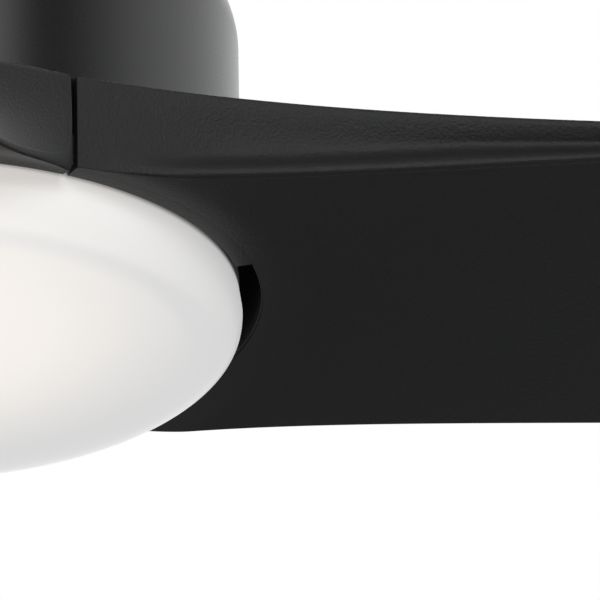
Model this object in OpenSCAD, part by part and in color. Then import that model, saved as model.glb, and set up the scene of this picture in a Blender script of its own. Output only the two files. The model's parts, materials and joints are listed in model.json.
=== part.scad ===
// Three-blade ceiling fan with a round opal light bowl.
// Frame: millimetres, +Z up, origin on the ceiling plane at the centre of the hanger bracket.
// Blade 1 points along +X. Heights inside the fan are measured up from the blade ring's lower lip.

/* [Overall] */
// Blade sweep, tip to tip through the fan's axis
sweep = 1372; // [1200:1:1500]
// Diameter of the ring that the three blade roots form
hub_d = 296; // [288:1:312]
// Height of that ring, lip to top
hub_h = 40; // [36:1:48]
// Outside diameter of the motor housing
housing_d = 277; // [272:1:280]
// Height of the housing's top above the lip
housing_top = 145; // [140:1:170]
// Length of the downrod
rod_len = 152; // [140:1:600]

/* [Blades] */
// Leading edge's distance from the blade's axis towards the tip
lead_tip = 80; // [70:1:95]
// Length over which the leading edge flares out to the ring
lead_fade = 130; // [100:1:160]
// Trailing edge's distance from the blade's axis at mid span
trail_mid = 109; // [95:1:115]
// Length over which the trailing edge flares out to the ring
trail_fade = 60; // [50:1:90]
// How far the trailing edge tapers in at the tip
trail_taper = 40; // [0:1:60]
// Height of the trailing edge below the lip
trail_drop = 6.2; // [2:0.1:7]
// Rise of the trailing edge at the tip
trail_rise = 14; // [6:1:18]
// Thickness of the leading edge on the outer half
lead_thick = 12; // [10:1:16]
// Thickness of the trailing edge
trail_thick = 2.5; // [2:0.1:4]
// How far the lower lip stands out of the leading face
lead_lip = 2.2; // [1:0.1:3]
// How deep the leading face is hollowed above that lip
lead_hollow = 2.4; // [1:0.1:3]
// Radius of the tip's corners
tip_corner = 42; // [20:1:55]
// Gap between two blade roots
seam_gap = 2.4; // [1.5:0.1:3]
// Width of the underside lip around the light
lip_w = 6.6; // [5:0.1:7]
// Thickness of the root's flanges
flange_t = 3; // [2.5:0.1:4]

/* [Light] */
// Gap between the blade ring's lip and the bowl
bowl_gap = 1; // [0.8:0.1:1.5]
// Depth of the bowl's dome below its widest line
bowl_depth = 37; // [30:1:45]
// Wall of the bowl
bowl_wall = 3; // [2.5:0.1:4]
// Diameter of the light emitting diode board
led_board_d = 200; // [180:1:210]
// Rings of light emitting diodes
led_rings = 3; // [2:1:4]

/* [Motor] */
// Shaft diameter
shaft_d = 20; // [18:1:22]
// Rotor's outside diameter
rotor_d = 216; // [206:1:222]
// Height of the stator stack
stack_h = 30; // [24:1:34]
// Number of stator teeth
teeth = 12; // [9:3:15]

/* [Ceiling fitting] */
// Spacing of the outlet box screws
box_screw_span = 88.9; // [82:0.1:92]
// Radius of the outlet box screw holes
box_hole_r = 2.75; // [2.5:0.05:3]
// Diameter of the canopy
canopy_d = 144; // [140:1:160]
// Height of the canopy
canopy_h = 86; // [84:1:96]
// Radius of the hanger ball
ball_r = 29; // [28:0.5:30]
// Outside diameter of the downrod
rod_d = 26.7; // [25:0.1:27.5]

/* [Hidden] */
$fn = 96;

eps = 0.01;
// least gap between pieces that pass each other
clear = 0.3;
plate_t = 2.5;
screw_gap = 0.2;

// ceiling fitting
ball_z = -52;
seat_liner_t = 1.7;
seat_top = -8;
seat_low = -19;
rod_r = rod_d / 2;
rod_wall = 2.8;
rod_top = ball_z + 22;
rod_low = rod_top - rod_len;
cross_pin_z = ball_z + 14;
cross_pin_r = 3;
arm_x = ball_r + 7;
arm_w = 32;
bracket_w = 56;
// half the width of the slot that lets the rod into the seat and lets it tilt
slot_half = rod_r + 7.5;
tab_x = canopy_d / 2 - 12;
canopy_wall = 1.2;
canopy_hole_r = rod_r + 16;
canopy_straight = 26;
canopy_screw_z = -13;
receiver_w = 30;
receiver_h = 15;
ground_screw_at = [22, -20];
lead_ring_r = 4.75;
lead_r = 1.1;

// coupling between the downrod and the motor shaft
coupling_r = 22;
rod_depth = 32;
coupling_top = rod_low + rod_depth;
coupling_gap = 8;
coupling_pin_z = rod_low + 14;
coupling_pin_r = 3.1;
set_screw_z = rod_low + 24;
shaft_r = shaft_d / 2;
shaft_bore_r = shaft_r - 4;

// the fan's own zero height: the lip of the blade ring
lip_z = rod_low - 16 - housing_top;
shaft_top = rod_low - coupling_gap - lip_z;
shaft_low = 14;

// blade ring
hub_r = hub_d / 2;
lead_angle = 62.3;
trail_angle = 120 - lead_angle;
gap_angle = asin(seam_gap / 2 / hub_r);
lead_az = -lead_angle + gap_angle;
trail_az = trail_angle - gap_angle;
root_r = hub_r - 1;
notch_r = root_r - 0.8;
ring_in = notch_r - lip_w;
ring_wall_in = notch_r - 1.7;
tip_r = sweep / 2;
bowl_r = ring_in - bowl_gap;
mount_r = 113;
flange_in = mount_r - 13;
mount_angles = [-40, 0, 40];
blade_screw_r = 2.4;
notch_from = -15;
notch_to = 26;
gasket_t = 2;

// motor, heights above the lip
rotor_low = hub_h + gasket_t;
cover_t = 5;
ring_h = 61;
ring_low = rotor_low + cover_t;
ring_top = ring_low + ring_h;
rotor_r = rotor_d / 2;
rotor_ring_t = 9.5;
air_gap = 1;
stator_r = rotor_r - rotor_ring_t - air_gap;
stack_low = ring_low + (ring_h - stack_h) / 2;
rotor_flange_r = 128;
bearing_r = shaft_r + 11;
bearing_w = 12;
bearing_low = rotor_low - 1;
bearing_high = ring_top - bearing_w + cover_t + 2;
boss_r = bearing_r + 6;
coil_over = 7;

// housing, heights above the lip
housing_r = housing_d / 2;
housing_wall = 1.6;
housing_low = hub_h + 3;
shoulder = 34;
housing_plate_t = 3.3;
plate_top = housing_top - housing_wall - 0.1;
plate_low = plate_top - housing_plate_t;
coupling_flange_t = 4;
housing_screw_at = 70;
plate_screw_at = 31;

// light kit, heights above the lip
pan_top = 24;
pan_t = 1.6;
pan_r = ring_in - 10;
pan_low = 3;
sink_low = 10;
sink_t = 3;
board_t = 1.6;
sink_r = led_board_d / 2 + 8;
led_h = 1;
led_w = 4;
kit_screw_at = sink_r - 12;
holder_r = pan_r + 1.6;
ledge_r = holder_r + 2.8;
ledge_low = pan_low + 0.5;
ledge_t = 2;
ledge_arc = 34;
stop_arc = 1.5;
lug_arc = 8;
neck_in = ledge_r + 0.6;
neck_out = neck_in + 2.8;
neck_top = 9;
bowl_line = -4;

// ---- helpers ----

module tube(r_out, r_in, z0, z1) {
    translate([0, 0, z0]) difference() {
        cylinder(r = r_out, h = z1 - z0);
        translate([0, 0, -1]) cylinder(r = r_in, h = z1 - z0 + 2);
    }
}

module disc(r, z0, z1) {
    translate([0, 0, z0]) cylinder(r = r, h = z1 - z0);
}

// part of a ring between two azimuths
module sector(r_out, r_in, z0, z1, from, to) {
    rotate([0, 0, from]) rotate_extrude(angle = to - from)
        polygon([[r_in, z0], [r_out, z0], [r_out, z1], [r_in, z1]]);
}

module around(radius, angles) {
    for (a = angles) rotate([0, 0, a]) translate([radius, 0, 0]) children();
}

// pan head screw along +Z: its shank runs from z0 up to z1, its head lies below z0
module screw_up(r, z0, z1, head_r, head_h) {
    disc(r, z0 - eps, z1);
    difference() {
        disc(head_r, z0 - head_h, z0);
        translate([-head_r, -0.6, z0 - head_h - 1]) cube([2 * head_r, 1.2, 2]);
    }
}

module screw_down(r, z0, z1, head_r, head_h) {
    translate([0, 0, z1]) mirror([0, 0, 1]) screw_up(r, 0, z1 - z0, head_r, head_h);
}

// ---- ceiling fitting ----

module hanger_bracket() {
    seat_r = ball_r + seat_liner_t + 2 * clear;
    seat_out = arm_x + plate_t;
    color("gainsboro") difference() {
        union() {
            translate([-tab_x, -bracket_w / 2, -plate_t]) cube([2 * tab_x, bracket_w, plate_t]);
            for (s = [-1, 1]) {
                translate([s * (tab_x - plate_t / 2) - plate_t / 2, -10, canopy_screw_z - 7])
                    cube([plate_t, 20, -canopy_screw_z + 7]);
                translate([s * (arm_x + plate_t / 2) - plate_t / 2, -arm_w / 2, ball_z + seat_low - 2])
                    cube([plate_t, arm_w, -ball_z - seat_low + 2 - eps]);
            }
            disc(seat_out, ball_z + seat_low - 2, ball_z + seat_top - 2);
        }
        translate([0, 0, ball_z]) sphere(r = seat_r);
        translate([-slot_half, 0, ball_z + seat_low - 3]) cube([2 * slot_half, seat_out + 1, 30]);
        for (s = [-1, 1]) {
            translate([s * box_screw_span / 2, 0, -plate_t - 1]) cylinder(r = box_hole_r, h = plate_t + 2);
            translate([s * (tab_x - plate_t / 2), 0, canopy_screw_z]) rotate([0, 90, 0])
                cylinder(r = 1.8, h = 2 * plate_t, center = true);
        }
        translate([ground_screw_at[0], ground_screw_at[1], -plate_t - 1]) cylinder(r = 1.8, h = plate_t + 2);
        translate([-8, ground_screw_at[1], -plate_t - 1]) cylinder(r = 5, h = plate_t + 2);
    }
}

// a quarter of a superellipse from [r, z] down or up to the rod, ending at [hole, z + h]
function bell_curve(r, hole, z, h, n = 20) = [for (i = [0:n]) let (a = 90 * i / n)
    [hole + (r - hole) * pow(cos(a), 0.8), z + h * pow(sin(a), 0.9)]];

module canopy() {
    r = canopy_d / 2;
    drop = canopy_straight - canopy_h;
    outer = bell_curve(r, canopy_hole_r, -canopy_straight, drop);
    inner = bell_curve(r - canopy_wall, canopy_hole_r, -canopy_straight, drop + canopy_wall);
    color("dimgray") difference() {
        rotate_extrude() polygon(concat([[r - canopy_wall, -1.5], [r, -1.5]], outer,
            [for (i = [len(inner) - 1:-1:0]) inner[i]]));
        for (s = [-1, 1]) translate([s * r, 0, canopy_screw_z]) rotate([0, 90, 0])
            cylinder(r = 2.3, h = 10, center = true);
    }
}

module canopy_trim_ring() {
    r = canopy_d / 2;
    color("dimgray") rotate_extrude() polygon([[r + 2.9, -1.5], [r + 4.3, -1.5], [r + 4.3, -22], [r + 3.1, -23.4],
        [r + clear, -23.4], [r + clear, -22.2], [r + 2.9, -22.2]]);
}

module canopy_screws() {
    color("silver") for (s = [0, 180]) rotate([0, 0, s]) translate([canopy_d / 2 + clear, 0, canopy_screw_z])
        rotate([0, 90, 0]) rotate([0, 0, 90]) screw_down(1.6, -canopy_d / 2 + tab_x - 5, 0, 3.4, 2);
}

module receiver_module() {
    color("ivory") translate([0, 0, -plate_t - receiver_h]) difference() {
        translate([-31, -receiver_w / 2, 0]) cube([62, receiver_w, receiver_h]);
        for (x = [-32, 29]) translate([x, -4, 3]) cube([3, 8, receiver_h - 6]);
    }
}

module wire_connectors() {
    nut_r = 5.5;
    nut_h = 20;
    color("orange") for (x = [-18, 0, 18]) translate([x, receiver_w / 2 + nut_r + clear, -plate_t - nut_h]) difference() {
        cylinder(r1 = nut_r, r2 = nut_r - 2, h = nut_h);
        translate([0, 0, -1]) cylinder(r = nut_r - 2.6, h = nut_h * 0.65);
    }
}

module ground_screw() {
    color("green") translate([ground_screw_at[0], ground_screw_at[1], 0]) screw_up(1.7, -plate_t, -0.2, 3.6, 2.4);
}

// rubber cup between the ball and the bracket, open at the front like the bracket
module ball_seat() {
    color("darkslategray") translate([0, 0, ball_z]) difference() {
        sphere(r = ball_r + clear + seat_liner_t);
        sphere(r = ball_r + clear);
        translate([-60, -60, seat_top - 4]) cube([120, 120, 60]);
        translate([-60, -60, seat_low + 0.6 - 60]) cube([120, 120, 60]);
        translate([-slot_half, 0, -60]) cube([2 * slot_half, 60, 80]);
    }
}

module hanger_ball() {
    color("darkgray") difference() {
        translate([0, 0, ball_z]) sphere(r = ball_r);
        translate([0, 0, ball_z - 40]) cylinder(r = rod_r + 0.1, h = 80);
        translate([-23, -cross_pin_r - screw_gap, cross_pin_z - cross_pin_r - screw_gap])
            cube([46, 2 * (cross_pin_r + screw_gap), 40]);
        translate([0, 0, ball_z - 45]) cylinder(r = 40, h = 20);
        translate([0, -rod_r - 8, ball_z - 8]) rotate([90, 0, 0]) cylinder(r = 2.1, h = 30, center = true);
    }
}

module ball_cross_pin() {
    color("silver") translate([-22, 0, cross_pin_z]) rotate([0, 90, 0]) cylinder(r = cross_pin_r, h = 44);
}

module ball_set_screw() {
    color("silver") translate([0, -rod_r - 0.1, ball_z - 8]) rotate([90, 0, 0]) difference() {
        cylinder(r = 2, h = 10);
        translate([-2.5, -0.4, 9]) cube([5, 0.8, 2]);
    }
}

module downrod() {
    color("dimgray") difference() {
        tube(rod_r, rod_r - rod_wall, rod_low, rod_top);
        translate([-40, 0, cross_pin_z]) rotate([0, 90, 0]) cylinder(r = cross_pin_r + 0.1, h = 80);
        translate([-40, 0, coupling_pin_z]) rotate([0, 90, 0]) cylinder(r = coupling_pin_r + 0.1, h = 80);
    }
}

// the leads that run down the rod and the hollow shaft to the motor and the light
module lead_wires() {
    ends = [cross_pin_z - cross_pin_r - 1, lip_z + shaft_low + 1];
    color("white") around(lead_ring_r, [75, 105, 270]) disc(lead_r, ends[1], ends[0]);
}

// ---- coupling ----

module motor_coupling() {
    low = lip_z + plate_low - coupling_flange_t;
    color("slategray") difference() {
        union() {
            disc(coupling_r, low, coupling_top);
            disc(plate_screw_at + 7, low, low + coupling_flange_t);
        }
        translate([0, 0, rod_low]) cylinder(r = rod_r + 0.1, h = rod_depth + 1);
        translate([0, 0, low - 1]) cylinder(r = shaft_r + 0.05, h = lip_z + shaft_top - low + 1);
        translate([0, 0, rod_low - coupling_gap - 1]) cylinder(r = 8, h = coupling_gap + 2);
        translate([-40, 0, coupling_pin_z]) rotate([0, 90, 0]) cylinder(r = coupling_pin_r + 0.1, h = 80);
        for (s = [-1, 1]) translate([0, s * coupling_r, set_screw_z]) rotate([90, 0, 0])
            cylinder(r = 3.1, h = 2 * (coupling_r - rod_r) + 2, center = true);
        around(plate_screw_at, [45:90:315]) translate([0, 0, low - 1]) cylinder(r = 2, h = coupling_flange_t + 2);
    }
}

module coupling_pin() {
    color("silver") translate([0, 0, coupling_pin_z]) rotate([0, 90, 0]) {
        difference() {
            translate([0, 0, -coupling_r - 1]) cylinder(r = coupling_pin_r, h = 2 * coupling_r + 9);
            translate([0, 0, coupling_r + 4]) rotate([90, 0, 0]) cylinder(r = 1.1, h = 20, center = true);
        }
        translate([0, 0, -coupling_r - 3.2]) cylinder(r = 5, h = 2.2);
    }
}

// hairpin clip through the end of the pin
module coupling_clip() {
    color("silver") translate([coupling_r + 4, 0, coupling_pin_z]) {
        rotate([90, 0, 0]) cylinder(r = 0.9, h = 16, center = true);
        translate([0, 8, 3.4]) rotate([0, 90, 0]) rotate_extrude(angle = 180) translate([3.4, 0]) circle(r = 0.9);
        translate([0, 1, 6.8]) rotate([90, 0, 0]) cylinder(r = 0.9, h = 14, center = true);
    }
}

module coupling_set_screws() {
    color("silver") for (s = [0, 180]) rotate([0, 0, s]) translate([0, rod_r + 0.05, set_screw_z])
        rotate([-90, 0, 0]) difference() {
            cylinder(r = 3, h = coupling_r - rod_r + 3);
            translate([-4, -0.5, coupling_r - rod_r + 2]) cube([8, 1, 2]);
        }
}

// the bell that hides the coupling
cover_r = plate_screw_at + 15;
cover_h = coupling_top + 8 - (lip_z + housing_top);
module coupling_cover() {
    low = lip_z + housing_top + clear;
    outer = bell_curve(cover_r, rod_r + 1.2, low, cover_h);
    inner = bell_curve(cover_r - 1.4, rod_r + 1.2, low, cover_h - 1.4);
    color("dimgray") rotate_extrude() polygon(concat(outer, [for (i = [len(inner) - 1:-1:0]) inner[i]]));
}

// ---- housing ----

module housing_shell() {
    r = housing_r;
    w = housing_wall;
    hole = plate_screw_at + 7.5;
    outer = [for (i = [0:18]) let (a = 5 * i)
        [r - shoulder + shoulder * cos(a), housing_top - shoulder + shoulder * sin(a)]];
    inner = [for (i = [18:-1:0]) let (a = 5 * i)
        [r - shoulder + (shoulder - w) * cos(a), housing_top - shoulder + (shoulder - w) * sin(a)]];
    color("dimgray") translate([0, 0, lip_z]) difference() {
        rotate_extrude() polygon(concat([[r - w, housing_low], [r, housing_low]], outer,
            [[hole, housing_top], [hole, housing_top - w]], inner));
        around(housing_screw_at, [0:90:270]) translate([0, 0, housing_top - 10]) cylinder(r = 2.2, h = 20);
    }
}

module housing_plate() {
    color("silver") translate([0, 0, lip_z]) difference() {
        tube(housing_screw_at + 10, coupling_r + clear, plate_low, plate_top);
        around(housing_screw_at, [0:90:270]) translate([0, 0, plate_low - 1]) cylinder(r = 2, h = 10);
        around(plate_screw_at, [45:90:315]) translate([0, 0, plate_low - 1]) cylinder(r = 2.2, h = 10);
        around(housing_screw_at - 16, [45:90:315]) translate([0, 0, plate_low - 1]) cylinder(r = 9, h = 10);
    }
}

module housing_screws() {
    color("dimgray") translate([0, 0, lip_z]) around(housing_screw_at, [0:90:270])
        screw_down(1.9, plate_low - 3, housing_top, 4, 2.2);
}

module plate_screws() {
    color("silver") translate([0, 0, lip_z]) around(plate_screw_at, [45:90:315])
        screw_down(1.9, plate_low - coupling_flange_t - 2, plate_top, 3.8, 2.4);
}

// ---- motor ----

module motor_shaft() {
    color("lightsteelblue") translate([0, 0, lip_z]) tube(shaft_r, shaft_bore_r, shaft_low, shaft_top);
}

module stator_core() {
    hub = stator_r * 0.56;
    tooth_w = 10;
    color("slategray") translate([0, 0, lip_z + stack_low]) linear_extrude(stack_h) difference() {
        union() {
            circle(r = hub);
            intersection() {
                circle(r = stator_r);
                union() {
                    for (i = [0:teeth - 1]) rotate(i * 360 / teeth) {
                        translate([0, -tooth_w / 2]) square([stator_r + 1, tooth_w]);
                        translate([stator_r - 6, -stator_r * PI / teeth + 2])
                            square([8, 2 * stator_r * PI / teeth - 4]);
                    }
                }
            }
        }
        circle(r = shaft_r + 0.05);
    }
}

module stator_windings() {
    inner = stator_r * 0.56 + 2;
    outer = stator_r - 7.5;
    half = 5.3;
    wall = 4.6;
    color("peru") translate([0, 0, lip_z + stack_low]) for (i = [0:teeth - 1]) rotate([0, 0, i * 360 / teeth])
        difference() {
            translate([inner, -half - wall, -coil_over])
                cube([outer - inner, 2 * (half + wall), stack_h + 2 * coil_over]);
            translate([inner - 1, -half, -0.3]) cube([outer - inner + 2, 2 * half, stack_h + 0.6]);
        }
}

race_t = 3;
module bearings_at() {
    for (z = [bearing_low, bearing_high]) translate([0, 0, lip_z + z]) children();
}

// grooved rings, so that the balls run between them with a running clearance
ball_track_r = (shaft_r + bearing_r) / 2;
bearing_ball_r = 3;
module bearing_inner_races() {
    color("silver") bearings_at() difference() {
        tube(shaft_r + race_t + 1, shaft_r + 0.02, 0, bearing_w);
        translate([0, 0, bearing_w / 2]) rotate_extrude() translate([ball_track_r, 0])
            circle(r = bearing_ball_r + 0.05);
    }
}

module bearing_outer_races() {
    color("silver") bearings_at() difference() {
        tube(bearing_r, bearing_r - race_t - 1, 0, bearing_w);
        translate([0, 0, bearing_w / 2]) rotate_extrude() translate([ball_track_r, 0])
            circle(r = bearing_ball_r + 0.05);
    }
}

module bearing_balls() {
    color("gainsboro") bearings_at() around(ball_track_r, [0:40:320]) translate([0, 0, bearing_w / 2])
        sphere(r = bearing_ball_r);
}

rotor_bolt_at = rotor_r - rotor_ring_t / 2;
module rotor_bottom_cover() {
    color("lightgray") translate([0, 0, lip_z]) difference() {
        union() {
            disc(rotor_flange_r, rotor_low, ring_low);
            disc(boss_r, bearing_low, bearing_low + bearing_w + 2);
        }
        translate([0, 0, bearing_low - 1]) cylinder(r = bearing_r + 0.02, h = bearing_w + 1);
        translate([0, 0, bearing_low]) cylinder(r = bearing_r - 3, h = bearing_w + 5);
        for (b = [0, 120, 240]) rotate([0, 0, b]) around(mount_r, mount_angles)
            translate([0, 0, rotor_low - 1]) cylinder(r = blade_screw_r + 0.1, h = 10);
        around(rotor_bolt_at, [20:90:290]) translate([0, 0, rotor_low - 1]) cylinder(r = 2.1, h = 10);
        around(64, [0:60:300]) translate([0, 0, rotor_low - 1]) cylinder(r = 14, h = 10);
    }
}

module rotor_ring() {
    color("darkgray") translate([0, 0, lip_z]) difference() {
        tube(rotor_r, rotor_r - rotor_ring_t, ring_low, ring_top);
        around(rotor_bolt_at, [20:90:290]) translate([0, 0, ring_low - 1]) cylinder(r = 2.1, h = ring_h + 2);
    }
}

module rotor_top_cover() {
    color("lightgray") translate([0, 0, lip_z]) difference() {
        union() {
            disc(rotor_r, ring_top, ring_top + cover_t);
            disc(boss_r, bearing_high - 2, bearing_high + bearing_w);
        }
        translate([0, 0, bearing_high]) cylinder(r = bearing_r + 0.02, h = bearing_w + 1);
        translate([0, 0, bearing_high - 3]) cylinder(r = bearing_r - 3, h = bearing_w + 5);
        around(rotor_bolt_at, [20:90:290]) translate([0, 0, ring_top - 1]) cylinder(r = 2.1, h = 10);
        around(64, [0:60:300]) translate([0, 0, ring_top - 1]) cylinder(r = 14, h = 10);
    }
}

module rotor_bolts() {
    color("silver") translate([0, 0, lip_z]) around(rotor_bolt_at, [20:90:290])
        screw_down(1.9, rotor_low + 0.5, ring_top + cover_t, 4, 2.6);
}

// ---- blades ----

// ease from 0 to 1, flat at both ends
function ease(t) = let (c = min(1, max(0, t))) c * c * (3 - 2 * c);
// t where t is positive, 0 where it is negative, with a rounded corner
function ramp(t, soft = 0.06) = (t + sqrt(t * t + soft * soft)) / 2;
function mix(a, b, t) = a + (b - a) * t;

// how far the ring's arc shows in the blade's sections, and how level its top stays near the ring
bow_fade = 110;
level_reach = 170;
// the flange stands this much proud of the blade's skin, so that the gasket seats on it alone
skin_step = 0.3;
lead_x0 = hub_r * cos(lead_az);
trail_x0 = hub_r * cos(trail_az);
lead_y0 = -hub_r * sin(lead_az);
trail_y0 = hub_r * sin(trail_az);

// how far the tip's round corner has cut the edge in at a distance x
function corner_cut(x) = let (d = max(0, x - tip_r + tip_corner))
    tip_corner - sqrt(max(0, tip_corner * tip_corner - d * d));
// both edges in plan: each flares out to the ring with a fading exponential
function lead_edge_y(x) = -(lead_tip + (lead_y0 - lead_tip) * exp(-(x - lead_x0) / lead_fade)) + corner_cut(x);
function trail_edge_y(x) = trail_mid
    + (trail_y0 - trail_mid) * exp(-pow(max(0, x - trail_x0) / trail_fade, 1.3))
    - trail_taper * ease((x - 300) / (tip_r - 300)) - corner_cut(x);
// heights of the two edges' lower sides
function lip_height(x) = (hub_h - lead_thick) * sin(90 * min(1, ramp((x - lead_x0 - 31) / 320)))
    + 3 * ease((x - 420) / (tip_r - 420));
function trail_height(x) = -trail_drop * (0.4 + 0.6 * ease((x - trail_x0) / 40))
    + trail_rise * ease((x - 300) / (tip_r - 300));

// stations along the blade: up to the tip's corners, then round them
span_n = 28;
corner_n = 6;
stations = span_n + corner_n;
// shares of the way across the root: even steps, then halving ones up to the trailing seam
across = concat([for (j = [0:13]) j / 14], [for (k = [1:4]) 1 - pow(0.5, k) / 14], [1]);
chords = len(across) - 1;
// station 0 is the root's inner wall, station 1 the ring's outside, the last one the tip
function edge_x(x0, i) = i == 0 ? x0 * root_r / hub_r
    : i <= span_n ? mix(x0, tip_r - tip_corner, pow((i - 1) / (span_n - 1), 1.5))
    : tip_r - tip_corner * (1 - sin(90 * (i - span_n) / corner_n));
function lead_x(i) = edge_x(lead_x0, i);
function trail_x(i) = edge_x(trail_x0, i);
function lead_point(i) = i < 2 ? (i == 0 ? root_r : hub_r) * [cos(lead_az), sin(lead_az)]
    : [lead_x(i), lead_edge_y(lead_x(i))];
function trail_point(i) = i < 2 ? (i == 0 ? root_r : hub_r) * [cos(trail_az), sin(trail_az)]
    : [trail_x(i), trail_edge_y(trail_x(i))];
// a station is straight at the tip and bows out into the ring's arc at the root
function bow(i, v) = let (r = i == 0 ? root_r : hub_r, a = mix(lead_az, trail_az, v))
    exp(-(lead_x(max(i, 1)) - lead_x0) / bow_fade)
    * (r * [cos(a), sin(a)] - mix(r * [cos(lead_az), sin(lead_az)], r * [cos(trail_az), sin(trail_az)], v));
function plan(i, v) = mix(lead_point(i), trail_point(i), v) + bow(i, v);
// the top stays level round the ring and falls away to the trailing edge
function top_z(i, v) = let (n = 1.15 + level_reach / (trail_x(max(i, 1)) - trail_x0 + 0.1))
    mix(hub_h - skin_step, trail_height(trail_x(i)) + trail_thick, pow(v, n));
function low_z(i, v) = let (n = 1 + 1.3 * exp(-(trail_x(i) - trail_x0) / 90))
    mix(lip_height(lead_x(i)), trail_height(trail_x(i)), pow(v, n));
// the leading face between lip and top: offsets out of the edge, and heights
function face_points(i) = let (x = lead_x(i), z0 = lip_height(x), h = hub_h - z0, k = ease((x - lead_x0 - 8) / 55),
    p = plan(i, 0))
    [for (f = [[lead_lip * k, 0.09], [-lead_hollow * k, 0.16], [-lead_hollow * k, 0.36], [-0.3 * lead_hollow * k, 0.7]])
        [p[0], p[1] - f[0], z0 + h * f[1]]];
function section(i) = let (k = ease((lead_x(i) - lead_x0 - 8) / 55)) concat(
    [for (v = across) let (p = plan(i, v)) [p[0], p[1], top_z(i, v)]],
    [for (j = [chords:-1:0]) let (p = plan(i, across[j]))
        [p[0], p[1] - (j == 0 ? lead_lip * k : 0), low_z(i, across[j])]],
    face_points(i));

ring_n = 2 * chords + 6;
function cap(base, flip) = let (last = base + 2 * chords + 1, tris = concat(
    [for (j = [1:chords - 1]) [base + j, base + j + 1, last - j - 1]],
    [for (j = [1:chords - 1]) [base + j, last - j - 1, last - j]],
    [[base + 1, last - 1, last]],
    [for (k = [0:3]) [base + 1, last + k, last + k + 1]],
    [[base + 1, last + 4, base]]))
    [for (t = tris) flip ? [t[2], t[1], t[0]] : t];

// the aerofoil body, lofted through the stations
module blade_body() {
    points = [for (i = [0:stations]) each section(i)];
    sides = [for (i = [0:stations - 1], j = [0:ring_n - 1]) let (a = i * ring_n + j,
        b = i * ring_n + (j + 1) % ring_n) each [[a, b, b + ring_n], [a, b + ring_n, a + ring_n]]];
    polyhedron(points, concat(sides, cap(0, true), cap(stations * ring_n, false)));
}

// the root: a channel open to the axis, screwed up against the rotor through its top flange
module blade_root() {
    difference() {
        rotate([0, 0, lead_az]) rotate_extrude(angle = trail_az - lead_az) polygon([
            [ring_in, 0], [root_r + 0.4, 0], [root_r + 0.4, hub_h], [flange_in, hub_h],
            [flange_in, hub_h - flange_t], [ring_wall_in, hub_h - flange_t], [ring_wall_in, flange_t],
            [ring_in, flange_t]]);
        around(mount_r, mount_angles) disc(blade_screw_r + 0.2, hub_h - flange_t - 1, hub_h + 1);
    }
}

module blade(turn) {
    color("dimgray") translate([0, 0, lip_z]) rotate([0, 0, turn]) difference() {
        union() {
            blade_body();
            blade_root();
        }
        sector(notch_r, ring_in - 3, -1, hub_h - flange_t, notch_from, notch_to);
    }
}

module blade_gasket() {
    color("black") translate([0, 0, lip_z]) difference() {
        tube(mount_r + 12, flange_in + 1, hub_h, rotor_low);
        for (b = [0, 120, 240]) rotate([0, 0, b]) around(mount_r, mount_angles)
            disc(blade_screw_r + 0.2, hub_h - 1, rotor_low + 1);
    }
}

module blade_screws() {
    color("silver") translate([0, 0, lip_z]) for (b = [0, 120, 240]) rotate([0, 0, b])
        around(mount_r, mount_angles) screw_up(blade_screw_r, hub_h - flange_t, ring_low + 2, 5, 3);
}

// ---- light kit ----

module pan_collar() {
    color("silver") translate([0, 0, lip_z]) tube(shaft_r + 3, shaft_r + 0.05, pan_top, bearing_low);
}

module light_kit_pan() {
    color("white") translate([0, 0, lip_z]) difference() {
        rotate_extrude() polygon([[shaft_r + 0.2, pan_top], [pan_r, pan_top], [pan_r, pan_low],
            [pan_r - pan_t, pan_low], [pan_r - pan_t, pan_top - pan_t], [shaft_r + 0.2, pan_top - pan_t]]);
        around(kit_screw_at, [60, 180, 300]) disc(2.2, pan_top - 5, pan_top + 1);
        rotate([0, 0, 60]) for (a = [0, 120, 240]) rotate([0, 0, a]) translate([pan_r, 0, 6.5])
            rotate([0, 90, 0]) cylinder(r = 1.3, h = 12, center = true);
        translate([44, 32, pan_top - 5]) cylinder(r = 6, h = 10);
    }
}

module shaft_nut() {
    color("silver") translate([0, 0, lip_z]) difference() {
        translate([0, 0, shaft_low + 1]) cylinder(r = shaft_r + 6, h = pan_top - pan_t - shaft_low - 1.1, $fn = 6);
        translate([0, 0, shaft_low]) cylinder(r = shaft_r + 0.05, h = 20);
    }
}

module led_driver() {
    color("whitesmoke") translate([24, -17, lip_z + pan_top]) difference() {
        cube([66, 34, 12]);
        translate([62, 12, 3]) cube([5, 10, 6]);
    }
}

module heat_sink() {
    color("silver") translate([0, 0, lip_z]) difference() {
        disc(sink_r, sink_low, sink_low + sink_t);
        around(kit_screw_at, [60, 180, 300]) disc(2, sink_low - 1, sink_low + sink_t + 1);
    }
}

module led_board() {
    color("white") translate([0, 0, lip_z]) difference() {
        disc(led_board_d / 2, sink_low - board_t, sink_low);
        around(kit_screw_at, [60, 180, 300]) disc(6, sink_low - board_t - 1, sink_low + 1);
    }
}

module led_emitters() {
    top = lip_z + sink_low - board_t;
    color("lightyellow") for (k = [1:led_rings]) let (r = (k - 0.35) * (led_board_d / 2 - 24) / (led_rings - 0.35),
        n = 6 * k) around(r, [0:360 / n:359]) translate([-led_w / 2, -led_w / 2, top - led_h])
            cube([led_w, led_w, led_h]);
}

module light_kit_screws() {
    color("silver") translate([0, 0, lip_z]) around(kit_screw_at, [60, 180, 300]) {
        screw_down(1.8, sink_low - 1, pan_top, 4, 2.4);
        tube(3.6, 2.1, sink_low + sink_t, pan_top - pan_t);
    }
}

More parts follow.
